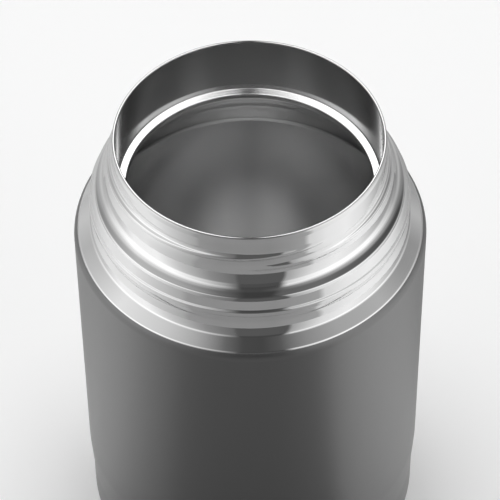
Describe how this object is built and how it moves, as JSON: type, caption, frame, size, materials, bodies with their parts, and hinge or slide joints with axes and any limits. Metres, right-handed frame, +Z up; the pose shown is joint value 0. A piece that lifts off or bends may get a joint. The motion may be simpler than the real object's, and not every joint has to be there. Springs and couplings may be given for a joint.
{
  "type": "insulated food jar",
  "caption": "Wide-mouth double-walled steel food jar without its stopper: threaded polished neck, collar, sealing ledge and satin grey body.",
  "frame": {"origin": "on the floor under the middle of the jar, the centre of the soft ring that it stands on", "axes": "+Z up along the jar's axis, out of the mouth; -Y faces the camera of the picture; +X to its right"},
  "size_m": [0.11, 0.11, 0.165],
  "materials": {
    "polished_steel": "mirror-polished stainless steel",
    "body_coat": "satin metallic dark grey coat",
    "satin_steel": "satin stainless steel with fine turned lines",
    "weld_steel": "bare weld seam",
    "bright_foil": "bright rolled foil",
    "foil_tape": "dull metal tape",
    "seal_frit": "dark melted glass frit",
    "getter_pill": "pressed metal powder",
    "adhesive": "cured adhesive",
    "soft_pad": "matte soft rubber"
  },
  "bodies": {
    "root": {"outer_shell": "polished_steel", "body_coating": "body_coat", "inner_liner": "satin_steel", "rim_weld": "polished_steel", "liner_bottom": "satin_steel", "liner_weld": "weld_steel", "foil_wrap": "bright_foil", "foil_tape": "foil_tape", "foil_disc": "bright_foil", "base_cap": "satin_steel", "base_weld": "weld_steel", "vacuum_seal": "seal_frit", "getter": "getter_pill", "getter_holder": "satin_steel", "cover_adhesive": "adhesive", "base_cover": "satin_steel", "base_pad": "soft_pad"}
  },
  "joints": []
}
